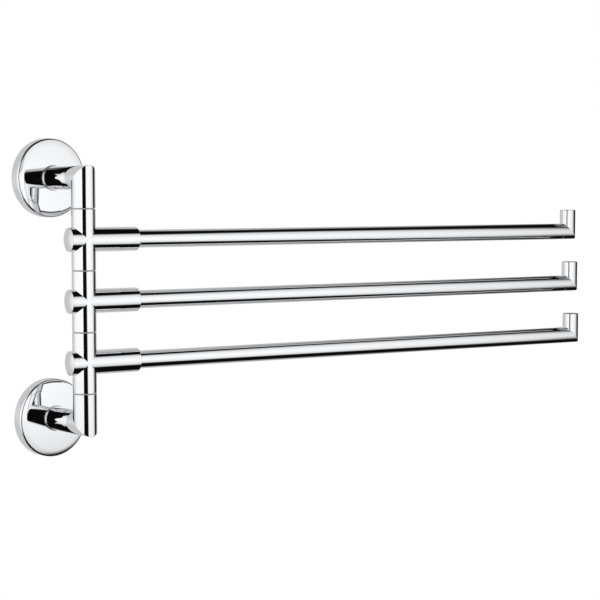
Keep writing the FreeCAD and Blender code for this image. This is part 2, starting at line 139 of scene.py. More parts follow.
def colour(code):
    """A hex sRGB colour as linear RGBA."""
    parts = [int(code[i : i + 2], 16) / 255 for i in (1, 3, 5)]
    return [p / 12.92 if p <= 0.04045 else ((p + 0.055) / 1.055) ** 2.4 for p in parts] + [1]


def fill(inputs, values):
    """Links or sets these inputs of a node."""
    for name, value in values.items():
        socket = inputs[name]
        if isinstance(value, bpy.types.NodeSocket):
            socket.id_data.links.new(value, socket)
        else:
            socket.default_value = value


def node(tree, kind, inputs, out=0, **settings):
    """Adds a node with its settings, links and values, and gives one of its outputs."""
    made = tree.nodes.new(kind)
    for name, value in settings.items():
        setattr(made, name, value)
    fill(made.inputs, inputs)
    return made.outputs[out]


def new_material(name):
    """A material, its node tree, its shader's inputs and Object coordinates."""
    material = bpy.data.materials.new(name)
    material.use_nodes = True
    tree = material.node_tree
    place = node(tree, "ShaderNodeTexCoord", {}, out="Object")
    return material, tree, tree.nodes["Principled BSDF"].inputs, place


def bright_chrome():
    """Bright chrome over nickel on polished brass: a clear, faintly cool mirror. Buffing leaves
    a haze that comes and goes over about a centimetre, and a ripple too shallow to feel."""
    material, tree, shader, place = new_material("bright_chrome_on_polished_brass")
    haze = node(tree, "ShaderNodeTexNoise", {"Vector": place, "Scale": 1 / (9 * MM), "Detail": 3})
    strokes = node(tree, "ShaderNodeMapping", {"Vector": place, "Scale": (1, 1, 0.15)})
    buffing = node(tree, "ShaderNodeTexNoise", {"Vector": strokes, "Scale": 1 / (0.6 * MM)})
    both = node(tree, "ShaderNodeMath", {0: buffing, 1: 0.3, 2: haze}, operation="MULTIPLY_ADD")
    matt = node(tree, "ShaderNodeMapRange", {
        "Value": both, "From Min": 0.35, "From Max": 0.95, "To Min": 0.007, "To Max": 0.022})
    ripple = node(tree, "ShaderNodeTexNoise", {"Vector": place, "Scale": 1 / (7 * MM), "Detail": 1})
    hand = node(tree, "ShaderNodeBump", {"Height": ripple, "Distance": 0.0012 * MM})
    fill(shader, {
        "Base Color": colour("#f8f9fb"), "Metallic": 1, "Roughness": matt, "Normal": hand})
    return material


def zinc_plate():
    """Pressed sheet steel with blue-white zinc: fine rolling lines across, cloudy passivation
    about 3 mm wide, and duller scuffs."""
    material, tree, shader, place = new_material("zinc_plated_steel_pressing")
    rolled = node(tree, "ShaderNodeMapping", {"Vector": place, "Scale": (0.1, 1, 3)})
    lines = node(tree, "ShaderNodeTexNoise", {
        "Vector": rolled, "Scale": 1 / (0.8 * MM), "Detail": 3})
    cloud = node(tree, "ShaderNodeTexNoise", {"Vector": place, "Scale": 1 / (3 * MM), "Detail": 4})
    tone = node(tree, "ShaderNodeMath", {0: lines, 1: 0.4, 2: cloud}, operation="MULTIPLY_ADD")
    tone = node(tree, "ShaderNodeMapRange", {"Value": tone, "From Min": 0.4, "From Max": 1})
    shades = node(tree, "ShaderNodeMix", {0: tone, 6: colour("#b2b7bf"), 7: colour("#d3d7dd")},
                  out=2, data_type="RGBA")
    scuffs = node(tree, "ShaderNodeTexNoise", {
        "Vector": place, "Scale": 1 / (5 * MM), "Detail": 5, "Roughness": 0.65})
    matt = node(tree, "ShaderNodeMapRange", {
        "Value": scuffs, "From Min": 0.3, "From Max": 0.7, "To Min": 0.28, "To Max": 0.5})
    relief = node(tree, "ShaderNodeBump", {"Height": lines, "Distance": 0.015 * MM})
    fill(shader, {"Base Color": shades, "Metallic": 1, "Roughness": matt, "Normal": relief})
    return material


def stainless():
    """Turned and ground stainless steel: tool rings 0.3 mm apart and a faint stain."""
    material, tree, shader, place = new_material("turned_stainless_steel")
    turned_way = node(tree, "ShaderNodeMapping", {"Vector": place, "Scale": (0.2, 1, 1)})
    rings = node(tree, "ShaderNodeTexNoise", {
        "Vector": turned_way, "Scale": 1 / (0.3 * MM), "Detail": 3})
    stain = node(tree, "ShaderNodeTexNoise", {"Vector": place, "Scale": 1 / (3 * MM), "Detail": 3})
    shades = node(tree, "ShaderNodeMix", {0: stain, 6: colour("#a9a8a6"), 7: colour("#c6c6c5")},
                  out=2, data_type="RGBA")
    matt = node(tree, "ShaderNodeMapRange", {
        "Value": rings, "From Min": 0.3, "From Max": 0.7, "To Min": 0.2, "To Max": 0.38})
    relief = node(tree, "ShaderNodeBump", {"Height": rings, "Distance": 0.006 * MM})
    fill(shader, {"Base Color": shades, "Metallic": 1, "Roughness": matt, "Normal": relief})
    return material


def moulded(name, dark, light, grain, dullest):
    """Moulded or rolled plastic: a tone that clouds a little over 4 mm, and an eroded grain of so
    many millimetres. dullest is its highest roughness."""
    material, tree, shader, place = new_material(name)
    cloud = node(tree, "ShaderNodeTexNoise", {"Vector": place, "Scale": 1 / (4 * MM), "Detail": 3})
    shades = node(tree, "ShaderNodeMix", {0: cloud, 6: colour(dark), 7: colour(light)},
                  out=2, data_type="RGBA")
    pits = node(tree, "ShaderNodeTexNoise", {"Vector": place, "Scale": 1 / (grain * MM)})
    matt = node(tree, "ShaderNodeMapRange", {
        "Value": pits, "From Min": 0.3, "From Max": 0.7,
        "To Min": dullest - 0.12, "To Max": dullest})
    relief = node(tree, "ShaderNodeBump", {"Height": pits, "Distance": 0.01 * MM})
    fill(shader, {"Base Color": shades, "Roughness": matt, "Normal": relief})
    return material


FINISHES = {
    "polished_chrome": bright_chrome(),
    "zinc_plated_steel": zinc_plate(),
    "stainless_steel": stainless(),
    # natural acetal, waxy and off-white
    "acetal": moulded("natural_acetal", "#dedbcf", "#ebe9df", 0.3, 0.44),
    # light grey nylon sheet, satin
    "nylon": moulded("light_grey_nylon", "#c0c0c2", "#cbcbcd", 0.2, 0.56),
}


# Mesh building


class Place:
    """A piece's own frame: an axis through a point, and the direction from which turns count."""

    def __init__(self, origin, axis, start):
        self.origin = Vector(origin)
        self.axis = Vector(axis).normalized()
        self.start = Vector(start).normalized()
        self.side = self.axis.cross(self.start)

    def corner(self, turn, along, out, lean_along=0.0, lean_out=1.0):
        """A point on a surface about the axis, with the direction that the surface faces."""
        way = cos(turn) * self.start + sin(turn) * self.side
        lean = lean_along * self.axis + lean_out * way
        return self.origin + along * self.axis + out * way, lean.normalized()

    def ring(self, steps, along, out, lean_along=0.0, lean_out=1.0):
        return [self.corner(turn, along, out, lean_along, lean_out) for turn in turns(steps)]


def turns(steps):
    """The turns of a closed ring's corners, of which the last is the first again."""
    return [2 * pi * (step % steps) / steps for step in range(steps + 1)]


class Skin:
    """The faces of one piece. Corners that fall together are one point, and each corner keeps
    the direction that the true surface faces there."""

    def __init__(self):
        self.found, self.points, self.faces, self.leans = {}, [], [], []

    def point(self, spot):
        key = tuple(round(part / WELD) for part in spot)
        if key not in self.found:
            self.found[key] = len(self.points)
            self.points.append(spot * MM)
        return self.found[key]

    def face(self, corners):
        """One face, turned the way that its corners lean."""
        kept = {}
        for spot, lean in corners:
            kept.setdefault(self.point(spot), lean)
        if len(kept) < 3:
            return
        order = list(kept)
        way = geometry.normal([self.points[spot] for spot in order])
        if way.dot(sum(kept.values(), Vector())) < 0:
            order.reverse()
        self.faces.append(order)
        self.leans += [kept[spot] for spot in order]

    def band(self, first, second):
        """Facets between two rows with as many corners."""
        for corners in zip(first, first[1:], second[1:], second):
            self.face(corners)

    def mesh(self, name):
        """The faces as a mesh that shades by its leans."""
        made = bpy.data.meshes.new(name)
        made.from_pydata(self.points, [], self.faces)
        made.shade_smooth()
        made.normals_split_custom_set(self.leans)
        return made

    def piece(self, part, body):
        """The mesh as a chromed piece that stands for the CAD node of this name."""
        name = part + "_chromed"
        dress(name, self.mesh(name), body, "polished_chrome", part)


def dress(name, mesh, body, finish, *nodes):
    """Gives a mesh its finish, body and slot, in place of CAD nodes."""
    mesh.materials.clear()
    mesh.materials.append(FINISHES[finish])
    made = bpy.data.objects.new(name, mesh)
    bpy.context.scene.collection.objects.link(made)
    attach(made, body)
    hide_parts(*nodes)


def bend(centre, radius, start, end, steps=ROUND_STEPS):
    """An arc of an outline, as (along, out, lean_along, lean_out); angles count from along."""
    angles = [start + (end - start) * step / steps for step in range(steps + 1)]
    return [(centre[0] + radius * cos(angle), centre[1] + radius * sin(angle),
             cos(angle), sin(angle)) for angle in angles]


def runs(corners, closed):
    """The straight and round runs of an outline, each a list as bend gives it.

    A corner is (along, out) or (along, out, round). The solid lies to the left of the way, with
    along to the right and out upwards.
    """
    ends = [[Vector(corner[:2]), Vector(corner[:2])] for corner in corners]
    made = []
    for index, corner in enumerate(corners):
        if len(corner) == 2:
            continue
        spot, size = Vector(corner[:2]), corner[2]
        before = (spot - Vector(corners[index - 1][:2])).normalized()
        after = (Vector(corners[(index + 1) % len(corners)][:2]) - spot).normalized()
        ends[index] = [spot - size * before, spot + size * after]
        swing = -before.angle_signed(after)  # that counts clockwise
        radius = size / tan(swing / 2)  # below zero in a hollow corner
        centre = ends[index][0] + radius * Vector((-before.y, before.x))
        start = atan2(-before.x, before.y)
        made.append(bend(centre, radius, start, start + swing))
    for index in range(len(corners) if closed else len(corners) - 1):
        start, end = ends[index][1], ends[(index + 1) % len(corners)][0]
        if max(start.y, end.y) < WELD or (end - start).length < WELD:
            continue
        way = (end - start).normalized()
        made.append([(*start, way.y, -way.x), (*end, way.y, -way.x)])
    return made


def spun(skin, place, steps, run):
    """The surface that one run of an outline makes as it turns about the axis."""
    for first, second in zip(run, run[1:]):
        skin.band(place.ring(steps, *first), place.ring(steps, *second))


def turned(skin, place, steps, corners, closed=False, hole=None):
    """A turned surface from an outline. hole is (along, radius, reach) of a hole at turn 0, with
    its reach in the wall's facets."""
    rims = []
    for run in runs(corners, closed):
        for first, second in zip(run, run[1:]):
            level = first[1] == second[1]
            if hole and level and min(first[0], second[0]) < hole[0] < max(first[0], second[0]):
                rims.append(pierced(skin, place, steps, first, second, hole))
            else:
                spun(skin, place, steps, (first, second))
    if rims:
        hole_wall(skin, place, hole, rims)


def pierced(skin, place, steps, first, second, hole):
    """A round wall with a side hole at turn 0. Returns where the hole's rim meets the wall."""
    middle, radius, reach = hole
    start, end = sorted((first, second))
    out, facing = start[1], start[3]
    half = PATCH_LONG * radius
    rows = [middle - half + 2 * half * row / PATCH_ROWS for row in range(PATCH_ROWS + 1)]
    rings = [place.ring(steps, row, out, 0, facing) for row in rows]
    skin.band(place.ring(steps, *start), rings[0])
    skin.band(rings[-1], place.ring(steps, *end))
    for lower, upper in zip(rings, rings[1:]):
        skin.band(lower[reach : steps + 1 - reach], upper[reach : steps + 1 - reach])
    step = 2 * pi / steps
    edge = [(rows[0], count) for count in range(-reach, reach)]
    edge += [(row, reach) for row in rows[:-1]]
    edge += [(rows[-1], count) for count in range(reach, -reach, -1)]
    edge += [(row, -reach) for row in rows[:0:-1]]
    edge = [(along, count * step) for along, count in edge]
    rim = []
    for along, turn in edge:
        bearing = atan2(turn / (reach * step), (along - middle) / half)
        rim.append((middle + radius * cos(bearing), asin(radius * sin(bearing) / out)))
    loops = []
    for layer in range(reach + 1):
        part = layer / reach
        loop = []
        for (along, turn), (rim_along, rim_turn) in zip(edge, rim):
            spot = (turn + part * (rim_turn - turn), along + part * (rim_along - along))
            loop.append(place.corner(*spot, out, 0, facing))
        loops.append(loop + loop[:1])
    for outer, inner in zip(loops, loops[1:]):
        skin.band(outer, inner)
    return [spot for spot, _ in loops[-1]]


def hole_wall(skin, place, hole, rims):
    """The wall of a side hole, between the two walls that it goes through."""
    centre = place.origin + hole[0] * place.axis
    rows = []
    for rim in rims:
        row = []
        for spot in rim:
            away = spot - centre
            row.append((spot, (away.dot(place.start) * place.start - away).normalized()))
        rows.append(row)
    skin.band(*rows)


def elbow_legs(corner, ahead, turn_to):
    """The two legs' frames of a mitred bend: turns count from the outside of the bend."""
    return Place(corner, ahead, -Vector(turn_to)), Place(corner, turn_to, ahead)


def mitred(skin, first, second, radius, first_end, second_end, steps):
    """Both legs' round walls, from the mitre out to first_end and second_end."""
    middle = (first.axis + second.axis).normalized()
    for leg, sign, far in ((first, 1, first_end), (second, -1, second_end)):
        crease, inside = [], []
        for turn in turns(steps):
            reach = sign * radius * cos(turn)
            spot, lean = leg.corner(turn, reach, radius)
            crease.append((spot, (lean - lean.dot(middle) * middle).normalized()))
            inside.append(leg.corner(turn, reach - sign * CREASE_BLEND, radius))
        skin.band(crease, inside)
        skin.band(inside, leg.ring(steps, far, radius))


def crossed(skin, tube, other, radius, ends, steps):
    """A tube's round wall on both sides of an equal tube that crosses it at right angles.
    Turns count from the plane that both tubes lie in."""
    for far in ends:
        sign = 1 if far > 0 else -1
        crease, inside = [], []
        for turn in turns(steps):
            spot, lean = tube.corner(turn, sign * radius * abs(cos(turn)), radius)
            away = spot - tube.origin
            across = (away - away.dot(other.axis) * other.axis).normalized()
            crease.append((spot, (lean + across).normalized()))
            reach = sign * (radius + CREASE_BLEND) * abs(cos(turn))
            inside.append(tube.corner(turn, reach, radius))
        skin.band(crease, inside)
        skin.band(inside, tube.ring(steps, far, radius))


def flange_cover(side):
    """Round domed cup with a low seat for the elbow and a hole for the rim's screw."""
    skin = Skin()
    place = Place((0, 0, SIDES[side] * FLANGE_UP), (0, -1, 0), (0, 0, -1))
    # The face is three arcs, the dome, the bend and the rim, and each starts at its own tilt.
    dome = (FLANGE_DEPTH - FACE_RADIUS, 0)
    dome_tilt, bend_tilt = asin(SEAT_R / FACE_RADIUS), asin(BEND_START / FACE_RADIUS)
    gap = FACE_RADIUS - BEND_RADIUS
    bent = (dome[0] + gap * cos(bend_tilt), gap * sin(bend_tilt))
    gap = BEND_RADIUS - EDGE_RADIUS
    rim_out = FLANGE_R - EDGE_RADIUS
    rim_tilt = asin((rim_out - bent[1]) / gap)
    rim = (bent[0] + gap * cos(rim_tilt), rim_out)
    front = bend(dome, FACE_RADIUS, dome_tilt, bend_tilt, DOME_STEPS)
    front += bend(bent, BEND_RADIUS, bend_tilt, rim_tilt, BEND_STEPS)[1:]
    front += bend(rim, EDGE_RADIUS, rim_tilt, pi / 2, RIM_STEPS)[1:]
    spun(skin, place, FLANGE_STEPS, front)
    turned(skin, place, FLANGE_STEPS, [
        (rim[0], FLANGE_R),
        (0, FLANGE_R, FLANGE_BACK_ROUND),
        (0, FLANGE_BORE_R, FLANGE_BACK_ROUND),
        (FLANGE_FLOOR, FLANGE_BORE_R),
        (FLANGE_FLOOR, SCREW_HOLE_R),
        (SEAT_TOP, SCREW_HOLE_R),
        (SEAT_TOP, SEAT_R, SEAT_ROUND),
        (front[0][0], SEAT_R),
    ], hole=(RIM_GRUB_STAND, RIM_GRUB_R, RIM_GRUB_REACH))
    skin.piece(f"{side}_flange_cover", "wall_frame")


def elbow(side):
    """Mitred elbow: a level leg on the flange's seat and an upright leg that holds the spindle."""
    skin = Skin()
    sign = SIDES[side]
    corner = (0, -SPINDLE_FROM_WALL, sign * FLANGE_UP)
    level, upright = elbow_legs(corner, (0, -1, 0), (0, 0, -sign))
    seat = SEAT_TOP - SPINDLE_FROM_WALL
    inside = POST_R + 2 * CREASE_BLEND  # where the mitred part of the upright leg ends
    mitred(skin, level, upright, POST_R, seat + END_ROUND, inside, TUBE_STEPS)
    turned(skin, level, TUBE_STEPS, [
        (seat + END_ROUND, POST_R),
        (seat, POST_R, END_ROUND),
        (seat, ELBOW_SCREW_R),
        (seat + ELBOW_SCREW_DEPTH, ELBOW_SCREW_R),
        (seat + ELBOW_SCREW_DEPTH, 0),
    ])
    turned(skin, Place(corner, (0, 0, -sign), (1, 0, 0)), TUBE_STEPS, [
        (ELBOW_DROP - SPINDLE_SOCKET, 0),
        (ELBOW_DROP - SPINDLE_SOCKET, SPINDLE_SOCKET_R),
        (ELBOW_DROP - SPRING_SEAT, SPINDLE_SOCKET_R),
        (ELBOW_DROP - SPRING_SEAT, SPRING_SEAT_R),
        (ELBOW_DROP, SPRING_SEAT_R),
        (ELBOW_DROP, POST_R, END_ROUND),
        (inside, POST_R),
    ], hole=(ELBOW_DROP - SPINDLE_GRUB_UP, SPINDLE_GRUB_R, SPINDLE_GRUB_REACH))
    skin.piece(f"{side}_elbow", "wall_frame")


def arm_frame(arm):
    """An arm's centre on the spindle, and the way along its bar."""
    height, angle = ARMS[arm]
    along = Vector((cos(radians(angle)), -sin(radians(angle)), 0))
    return Vector((0, -SPINDLE_FROM_WALL, height)), along


def arm_hub(arm):
    """Two crossing tubes: the upright hub and the level sleeve."""
    skin = Skin()
    centre, along = arm_frame(arm)
    post, sleeve = Place(centre, UP, along), Place(centre, along, UP)
    hub_ends = (HUB_HALF - END_ROUND, END_ROUND - HUB_HALF)
    crossed(skin, post, sleeve, POST_R, hub_ends, TUBE_STEPS)
    crossed(skin, sleeve, post, POST_R, (SLEEVE_REACH - SLEEVE_ROUND, -CAP_BACK), TUBE_STEPS)
    turned(skin, post, TUBE_STEPS, [
        (END_ROUND - HUB_HALF, POST_R),
        (-HUB_HALF, POST_R, END_ROUND),
        (-HUB_HALF, BUSH_R),
        (HUB_HALF, BUSH_R),
        (HUB_HALF, POST_R, END_ROUND),
        (HUB_HALF - END_ROUND, POST_R),
    ])
    turned(skin, sleeve, TUBE_STEPS, [
        (SLEEVE_FLOOR, 0),
        (SLEEVE_FLOOR, BAR_R),
        (SLEEVE_REACH, BAR_R, MOUTH_ROUND),
        (SLEEVE_REACH, POST_R, SLEEVE_ROUND),
        (SLEEVE_REACH - SLEEVE_ROUND, POST_R),
    ])
    turned(skin, sleeve, TUBE_STEPS, [
        (-CAP_BACK, POST_R),
        (-CAP_BACK, CAP_PLUG_R),
        (CAP_PLUG - CAP_BACK, CAP_PLUG_R),
        (CAP_PLUG - CAP_BACK, 0),
    ])
    skin.piece(f"{arm}_arm_hub", f"{arm}_arm")


def rear_cap(arm):
    """Crowned cap on the sleeve's rear end, with a plug inside."""
    skin = Skin()
    centre, along = arm_frame(arm)
    place = Place(centre, -along, UP)
    edge_out = POST_R - CAP_ROUND
    tilt = asin(edge_out / (CAP_CROWN - CAP_ROUND))
    crown = (REAR_REACH - CAP_CROWN, 0)
    edge = (crown[0] + (CAP_CROWN - CAP_ROUND) * cos(tilt), edge_out)
    front = bend(crown, CAP_CROWN, 0, tilt, CROWN_STEPS)
    front += bend(edge, CAP_ROUND, tilt, pi / 2)[1:]
    spun(skin, place, TUBE_STEPS, front)
    turned(skin, place, TUBE_STEPS, [
        (edge[0], POST_R),
        (CAP_BACK, POST_R),
        (CAP_BACK, CAP_PLUG_R),
        (CAP_BACK - CAP_PLUG, CAP_PLUG_R),
        (CAP_BACK - CAP_PLUG, 0),
    ])
    skin.piece(f"{arm}_rear_cap", f"{arm}_arm")


def bar(arm):
    """Round tube with a small vent low on its room side, near the hook."""
    skin = Skin()
    centre, along = arm_frame(arm)
    tilt = radians(VENT_TURN)
    vent_way = -sin(tilt) * UP.cross(along) - cos(tilt) * UP
    turned(skin, Place(centre, along, vent_way), TUBE_STEPS, [
        (SLEEVE_FLOOR, BAR_BORE_R),
        (BAR_END, BAR_BORE_R),
        (BAR_END, BAR_R, END_ROUND),
        (SLEEVE_FLOOR, BAR_R),
    ], closed=True, hole=(BAR_END - VENT_FROM_END, VENT_R, VENT_REACH))
    skin.piece(f"{arm}_bar", f"{arm}_arm")


def end_hook(arm):
    """Mitred upright end of the bar, on a spigot inside the tube."""
    skin = Skin()
    centre, along = arm_frame(arm)
    level, upright = elbow_legs(centre + ARM_REACH * along, along, UP)
    seam = BAR_END - ARM_REACH
    mitred(skin, level, upright, BAR_R, seam + END_ROUND, HOOK_RISE - HOOK_ROUND, TUBE_STEPS)
    turned(skin, level, TUBE_STEPS, [
        (seam + END_ROUND, BAR_R),
        (seam, BAR_R, END_ROUND),
        (seam, SPIGOT_R),
        (seam - SPIGOT, SPIGOT_R),
        (seam - SPIGOT, 0),
    ])
    turned(skin, upright, TUBE_STEPS, [
        (HOOK_RISE, 0),
        (HOOK_RISE, BAR_R, HOOK_ROUND),
        (HOOK_RISE - HOOK_ROUND, BAR_R),
    ])
    skin.piece(f"{arm}_end_hook", f"{arm}_arm")


# Geometry Nodes


def washer_stack():
    """A row of flat washers with eased edges, up the Z axis."""
    tree = bpy.data.node_groups.new("washer_stack", "GeometryNodeTree")
    wanted = {"Count": "Int", "Pitch": "Float", "Outside": "Float", "Bore": "Float",
              "Thickness": "Float", "Eased Edge": "Float", "Finish": "Material"}
    for name, kind in wanted.items():
        tree.interface.new_socket(name, in_out="INPUT", socket_type=f"NodeSocket{kind}")
    tree.interface.new_socket("Washers", in_out="OUTPUT", socket_type="NodeSocketGeometry")
    given = tree.nodes.new("NodeGroupInput").outputs
    wall = node(tree, "ShaderNodeMath", {0: given["Outside"], 1: given["Bore"]},
                operation="SUBTRACT")
    both = node(tree, "ShaderNodeMath", {0: given["Outside"], 1: given["Bore"]}, operation="ADD")
    middle = node(tree, "ShaderNodeMath", {0: both, 1: 2.0}, operation="DIVIDE")
    section = node(tree, "GeometryNodeCurvePrimitiveQuadrilateral", {
        "Width": wall, "Height": given["Thickness"]})
    section = node(tree, "GeometryNodeFilletCurve", {
        "Curve": section, "Radius": given["Eased Edge"], "Count": WASHER_ROUND_STEPS}, mode="POLY")
    ring = node(tree, "GeometryNodeCurvePrimitiveCircle", {
        "Resolution": WASHER_STEPS, "Radius": middle})
    washer = node(tree, "GeometryNodeCurveToMesh", {"Curve": ring, "Profile Curve": section})
    fewer = node(tree, "ShaderNodeMath", {0: given["Count"], 1: 1.0}, operation="SUBTRACT")
    height = node(tree, "ShaderNodeMath", {0: fewer, 1: given["Pitch"]}, operation="MULTIPLY")
    lowest = node(tree, "ShaderNodeMath", {0: height, 1: -0.5}, operation="MULTIPLY")
    start = node(tree, "ShaderNodeCombineXYZ", {"Z": lowest})
    step = node(tree, "ShaderNodeCombineXYZ", {"Z": given["Pitch"]})
    row = node(tree, "GeometryNodeMeshLine", {
        "Count": given["Count"], "Start Location": start, "Offset": step})
    stack = node(tree, "GeometryNodeInstanceOnPoints", {"Points": row, "Instance": washer})
    stack = node(tree, "GeometryNodeRealizeInstances", {"Geometry": stack})
    stack = node(tree, "GeometryNodeSetMaterial", {
        "Geometry": stack, "Material": given["Finish"]})
    fill(tree.nodes.new("NodeGroupOutput").inputs, {"Washers": stack})
    return tree


def grown(tree, values, place):
    """The mesh that a Geometry Nodes tree makes from these values, moved to its place."""
    seed = bpy.data.objects.new("seed", bpy.data.meshes.new("seed"))
    bpy.context.scene.collection.objects.link(seed)
    modifier = seed.modifiers.new("grown", "NODES")
    modifier.node_group = tree
    for item in tree.interface.items_tree:
        if item.in_out == "INPUT":
            modifier[item.identifier] = values[item.name]
    ready = seed.evaluated_get(bpy.context.evaluated_depsgraph_get())
    mesh = bpy.data.meshes.new_from_object(ready)
    seed.modifiers.clear()
    bpy.data.objects.remove(seed)
    mesh.transform(Matrix.Translation(place))
    return mesh


def thrust_washers():
    """The four nylon washers that show as thin seams between the hubs and the elbows."""
    mesh = grown(washer_stack(), {
        "Count": WASHERS,
        "Pitch": HUB_PITCH * MM,
        "Outside": WASHER_R * MM,
        "Bore": WASHER_BORE_R * MM,
        "Thickness": WASHER_THICK * MM,
        "Eased Edge": WASHER_ROUND * MM,
        "Finish": FINISHES["nylon"],
    }, (0, -SPINDLE_FROM_WALL * MM, 0))
    mesh.shade_smooth()
    mesh.set_sharp_from_angle(angle=radians(WASHER_CREASE))
    dress("thrust_washers_eased", mesh, "wall_frame", "nylon",
          *[f"thrust_washer_{number}" for number in range(1, WASHERS + 1)])


for side in SIDES:
    flange_cover(side)
    elbow(side)
for arm in ARMS:
    arm_hub(arm)
    rear_cap(arm)
    bar(arm)
    end_hook(arm)
thrust_washers()

# The CAD nodes that stay in sight take the finishes too.
for part in frame["record"]["subparts"]:
    for slot in frame["nodes"][part["node"]].material_slots:
        slot.material = FINISHES[part["material_slot"]]


# Studio. Bright chrome shows what stands round it, so the studio is laid out for the reflections.

STUDIO_Y = -0.045  # its middle, about at the post

TENT_R = 630.0  # in millimetres
TENT_STEPS, TENT_ROWS = 96, 48
# The tent's angles, in degrees: round from straight ahead of the wall, right being positive, and
# up or down. Each edge goes from where it is dark to where it is full.
SCREENS_LEFT, SCREENS_RIGHT = (-218.0, -104.0), (78.0, 59.0)
SCREENS_UP, SCREENS_DOWN = (49.9, 37.6), (-46.5, -36.0)
BOW, BOW_AT = 7.1, 30.0  # how far the right edge leans in, at this far up or down
SAG, SAG_FROM, SAG_TO = 18.0, 20.0, 74.0  # how far the lower edge has risen at SAG_TO
SCREEN_LEVEL = 1.02
# Light lost towards the ends: below, above, and farther round than ASIDE_FROM, all as it is at
# FALL_AT. It grows with the square, and to the side it stops at so many times FALL_AT.
FALL_BELOW, FALL_ABOVE, FALL_ASIDE, FALL_AT = 0.45, 0.33, 0.24, 40.0
ASIDE_FROM, ASIDE_STOP = 22.0, 2.0
# A thin cloth that hangs over the upper middle, and the light that it takes.
VALANCE_LEFT, VALANCE_RIGHT, VALANCE_DOWN = (-41.0, -35.0), (13.6, 10.0), (9.9, 13.3)
VALANCE_LOSS = 0.41
# Black cloth that the black card's ends lean on.
ENDS_LEFT, ENDS_RIGHT, ENDS_HIGH = (-41.8, -41.2), (-2.0, -13.0), (26.0, 32.0)
# The room behind, up and down to ROOM_HIGH, and its level at two angles.
ROOM_RIGHT, ROOM_LEFT, ROOM_HIGH = (89.0, 112.0), (271.0, 269.0), (64.0, 50.0)
ROOM_NEAR, ROOM_FAR = (105.0, 0.41), (136.0, 0.58)
DARK = 0.003

# The black card, in metres: its corners, and how its right edge fades and runs out downwards.
CARD_X, CARD_Y, CARD_HEIGHT = (-0.403, 0.5), -0.487, 1.2
CARD_FADE, CARD_SLANT = (-0.1, -0.02), 0.36

FLOOR_DOWN = -1.5  # a towel bar hangs about this far over the floor
FLOOR_SOLID, FLOOR_END = 1.4, 2.6  # it fades out between these
FLOOR_STEPS = 96

# The lamps: where each hangs, in metres, and its power in watts.
LAMP_SIZE = 1.6
LAMPS = {"lamp_above_left": ((-1.6, -1.8, 2.2), 28), "lamp_above_right": ((1.8, -1.2, 1.8), 14)}
SOFT_LEVEL = 0.75  # of the world, on all that doesn't reflect it

CAMERA_PLACE = (-0.604542, -0.955378, 0.073519)
CAMERA_YAW, CAMERA_PITCH = radians(41.0772), radians(-3.8393)
CAMERA_LENS, CAMERA_FILM = 98.943, 36
CAMERA_NEAR = 0.01


def staged(name, mesh, material):
    """A thing of the studio, which isn't part of the object."""
    made = bpy.data.objects.new(name, mesh)
    made.data.materials.append(material)
    bpy.context.scene.collection.objects.link(made)
    return made


def reflected(thing):
    """Shows a thing of the studio to nothing but what reflects, and gives it back."""
    for ray in ("camera", "diffuse", "transmission", "volume_scatter", "shadow"):
        setattr(thing, "visible_" + ray, False)
    return thing


def new_glow(name):
    """A material with no shader yet, its node tree, its output's inputs and Object coordinates."""
    material, tree, _, place = new_material(name)
    tree.nodes.remove(tree.nodes["Principled BSDF"])
    return material, tree, tree.nodes["Material Output"].inputs, place


